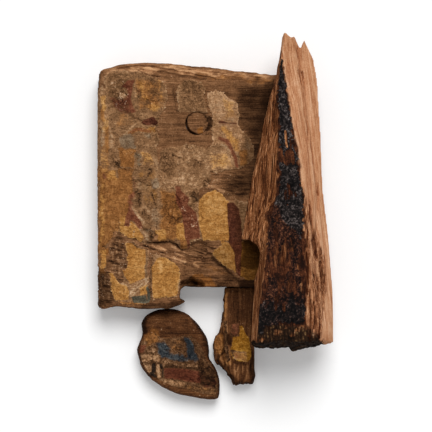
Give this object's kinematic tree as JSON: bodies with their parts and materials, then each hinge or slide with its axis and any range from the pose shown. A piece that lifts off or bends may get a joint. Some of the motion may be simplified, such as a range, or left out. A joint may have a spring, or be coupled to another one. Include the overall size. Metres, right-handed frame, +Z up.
{
  "type": "mummy case fragments",
  "caption": "Painted wooden mummy case fragments: a rim panel with a pegged lid tenon, a resin-coated split timber lying on it and small painted pieces beside it.",
  "frame": {"origin": "under the middle of the whole layout, on the surface that the pieces lie on", "axes": "+Z up from that surface, +Y towards the panel's rim and the wedge's splintered head, +X towards the wedge"},
  "size_m": [0.1752, 0.2714, 0.0675],
  "materials": {
    "case_wood": "dry weathered softwood, dusty",
    "peg_wood": "dry wood, end grain on the peg",
    "split_wood": "freshly split reddish wood, fibrous",
    "dark_wood": "dark aged wood",
    "ochre_plaster": "matt painted plaster, worn",
    "tan_plaster": "matt painted plaster, worn",
    "red_paint": "matt mineral paint",
    "blue_paint": "matt mineral paint",
    "black_paint": "matt mineral paint",
    "resin": "crackled black resin, half glossy"
  },
  "bodies": {
    "panel": {"panel_board": "case_wood", "lid_tenon": "peg_wood", "plaster_edge": "ochre_plaster", "plaster_left": "ochre_plaster", "plaster_centre": "tan_plaster", "plaster_by_peg": "tan_plaster", "plaster_upper_right": "tan_plaster", "plaster_lower_right": "ochre_plaster", "plaster_foot_left": "ochre_plaster", "plaster_foot_right": "ochre_plaster", "panel_red_paint": "red_paint", "panel_blue_paint": "blue_paint"},
    "peg": {"locking_peg": "peg_wood"},
    "wedge": {"wedge_timber": "split_wood", "wedge_resin": "resin"},
    "rounded": {"rounded_wood": "dark_wood", "rounded_plaster": "tan_plaster", "rounded_blue_paint": "blue_paint", "rounded_red_paint": "red_paint", "rounded_black_paint": "black_paint"},
    "narrow": {"narrow_wood": "dark_wood", "narrow_plaster": "tan_plaster", "narrow_chip": "tan_plaster", "narrow_yellow_paint": "ochre_plaster", "narrow_red_paint": "red_paint"}
  },
  "joints": [
    {"name": "peg_draw", "type": "slide", "parent": "panel", "child": "peg", "axis": [0, 0, 1], "range_m": [0, 0.036]},
    {"name": "wedge_lift", "type": "slide", "parent": "panel", "child": "wedge", "axis": [0, 0, 1], "range_m": [0, 0.08]},
    {"name": "rounded_lift", "type": "slide", "parent": "panel", "child": "rounded", "axis": [0, 0, 1], "range_m": [0, 0.06]},
    {"name": "narrow_draw", "type": "slide", "parent": "panel", "child": "narrow", "axis": [0.4, -0.9165, 0], "range_m": [0, 0.1]}
  ]
}
